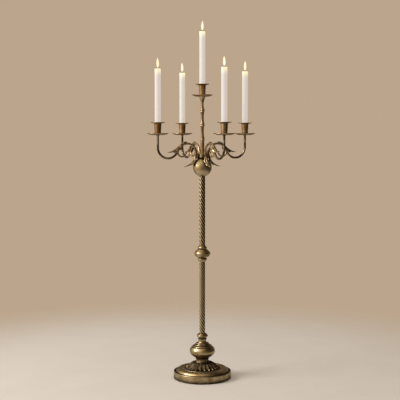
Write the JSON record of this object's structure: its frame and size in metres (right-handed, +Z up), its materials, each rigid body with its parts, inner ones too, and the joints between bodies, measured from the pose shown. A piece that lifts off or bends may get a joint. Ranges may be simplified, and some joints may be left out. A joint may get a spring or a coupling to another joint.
{
  "type": "floor candelabra",
  "caption": "Tall aged brass candelabra on a weighted round foot, with a rope-twisted column, scrolled leaf arms and a raised centre light for dinner candles.",
  "frame": {"origin": "on the floor, at the centre of the round foot", "axes": "+Z up the column; the arms point along +X, +Y, -X and -Y, and the front arm is the one along -Y"},
  "size_m": [0.4312, 0.4312, 1.2851],
  "materials": {
    "aged_brass": "satin polish with brown patina in the recesses",
    "zinc_steel": "zinc plated",
    "iron": "as cast",
    "felt": "pressed wool felt",
    "wax": "smooth wax, slightly translucent",
    "wick": "braided cotton, charred at the tip"
  },
  "bodies": {
    "stand": {"base_shell": "aged_brass", "leaf_collar": "aged_brass", "neck_spool": "aged_brass", "lower_bulb": "aged_brass", "bulb_cap": "aged_brass", "lower_knop": "aged_brass", "lower_shaft": "aged_brass", "mid_lower_collar": "aged_brass", "mid_bulb": "aged_brass", "mid_upper_collar": "aged_brass", "upper_shaft": "aged_brass", "ball": "aged_brass", "arm_hub": "aged_brass", "spindle": "aged_brass", "arm_right": "aged_brass", "arm_back": "aged_brass", "arm_left": "aged_brass", "arm_front": "aged_brass", "husk_leaf_right": "aged_brass", "husk_leaf_back": "aged_brass", "husk_leaf_left": "aged_brass", "husk_leaf_front": "aged_brass", "spur_leaf_right": "aged_brass", "spur_leaf_back": "aged_brass", "spur_leaf_left": "aged_brass", "spur_leaf_front": "aged_brass", "tendril_right": "aged_brass", "tendril_back": "aged_brass", "tendril_left": "aged_brass", "tendril_front": "aged_brass", "drip_pan_right": "aged_brass", "drip_pan_back": "aged_brass", "drip_pan_left": "aged_brass", "drip_pan_front": "aged_brass", "drip_pan_top": "aged_brass", "candle_cup_right": "aged_brass", "candle_cup_back": "aged_brass", "candle_cup_left": "aged_brass", "candle_cup_front": "aged_brass", "candle_cup_top": "aged_brass", "tie_rod": "zinc_steel", "base_washer": "zinc_steel", "base_nut": "zinc_steel", "cup_screws": "zinc_steel", "arm_set_screws": "zinc_steel", "base_weight": "iron", "felt_pad": "felt"},
    "candle_right_body": {"candle_right": "wax", "wick_right": "wick"},
    "candle_back_body": {"candle_back": "wax", "wick_back": "wick"},
    "candle_left_body": {"candle_left": "wax", "wick_left": "wick"},
    "candle_front_body": {"candle_front": "wax", "wick_front": "wick"},
    "candle_top_body": {"candle_top": "wax", "wick_top": "wick"}
  },
  "joints": [
    {"name": "candle_right_lift", "type": "slide", "parent": "stand", "child": "candle_right_body", "axis": [0, 0, 1], "range_m": [0, 0.06]},
    {"name": "candle_back_lift", "type": "slide", "parent": "stand", "child": "candle_back_body", "axis": [0, 0, 1], "range_m": [0, 0.06]},
    {"name": "candle_left_lift", "type": "slide", "parent": "stand", "child": "candle_left_body", "axis": [0, 0, 1], "range_m": [0, 0.06]},
    {"name": "candle_front_lift", "type": "slide", "parent": "stand", "child": "candle_front_body", "axis": [0, 0, 1], "range_m": [0, 0.06]},
    {"name": "candle_top_lift", "type": "slide", "parent": "stand", "child": "candle_top_body", "axis": [0, 0, 1], "range_m": [0, 0.06]}
  ]
}
